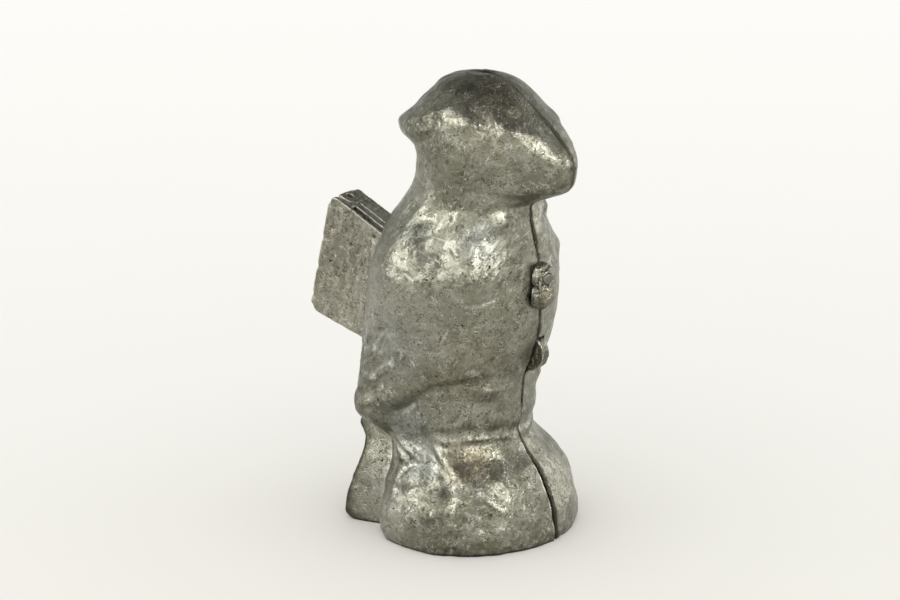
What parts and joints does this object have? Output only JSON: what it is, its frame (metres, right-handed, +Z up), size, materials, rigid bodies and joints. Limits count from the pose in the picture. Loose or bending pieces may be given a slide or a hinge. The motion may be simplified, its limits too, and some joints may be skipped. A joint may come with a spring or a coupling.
{
  "type": "cast figural mechanical bank",
  "caption": "Standing capped animal figure cast as two hollow halves, hinged at the back, with a turn catch and a finger trigger whose inner gate tilts but passes no coin.",
  "frame": {"origin": "centre of the round foot, on the surface that the figure stands on", "axes": "+Z up; -Y the way the figure faces; X across the parting plane, which is X = 0"},
  "size_m": [0.0612, 0.0846, 0.13],
  "materials": {
    "cast_pewter": "aged cast metal, pitted, with worn bright high spots",
    "hinge_pewter": "dull cast metal with drawn streaks",
    "dark_pewter": "darkened cast metal",
    "dark_iron": "dull, lightly rusted",
    "rusty_iron": "rusted",
    "sheet_brass": "tarnished sheet",
    "plain_steel": "turned, dull",
    "spring_steel": "drawn wire"
  },
  "bodies": {
    "far_body": {"far_half": "cast_pewter", "far_hinge_leaf": "hinge_pewter", "hinge_pin": "dark_iron", "locating_dowels": "dark_iron", "mechanism_frame": "sheet_brass", "frame_screws": "plain_steel", "coin_chute": "sheet_brass", "chute_rivets": "sheet_brass", "trigger_pin": "plain_steel", "gate_pin": "plain_steel", "return_spring": "spring_steel", "spring_post": "plain_steel", "foot_plate": "dark_pewter", "foot_screws": "plain_steel"},
    "near_body": {"near_half": "cast_pewter", "near_hinge_leaf": "hinge_pewter", "catch_pin": "dark_iron"},
    "catch_body": {"turn_catch": "dark_pewter", "catch_stud": "rusty_iron"},
    "trigger_body": {"trigger_lever": "dark_pewter", "drive_pin": "plain_steel"},
    "gate_body": {"coin_gate": "sheet_brass"}
  },
  "joints": [
    {"name": "half_opening", "type": "hinge", "parent": "far_body", "child": "near_body", "pos_m": [0, 0.05047, 0.05421], "axis": [0, 0.2149, -0.9766], "range_deg": [0, 100]},
    {"name": "catch_turn", "type": "hinge", "parent": "near_body", "child": "catch_body", "pos_m": [-0.002, -0.02145, 0.0758], "axis": [0, -1, 0], "range_deg": [0, 90]},
    {"name": "trigger_press", "type": "hinge", "parent": "far_body", "child": "trigger_body", "pos_m": [0, -0.012, 0.07], "axis": [1, 0, 0], "range_deg": [0, 8], "stiffness_Nm_per_rad": 0.08, "springref_deg": -5.73, "deforming": ["return_spring"]},
    {"name": "gate_drop", "type": "hinge", "parent": "far_body", "child": "gate_body", "pos_m": [0, 0.011, 0.06], "axis": [1, 0, 0], "range_deg": [0, 28]}
  ],
  "couplings": [
    {"joint": "gate_drop", "follows": "trigger_press", "ratio": 3.48}
  ]
}
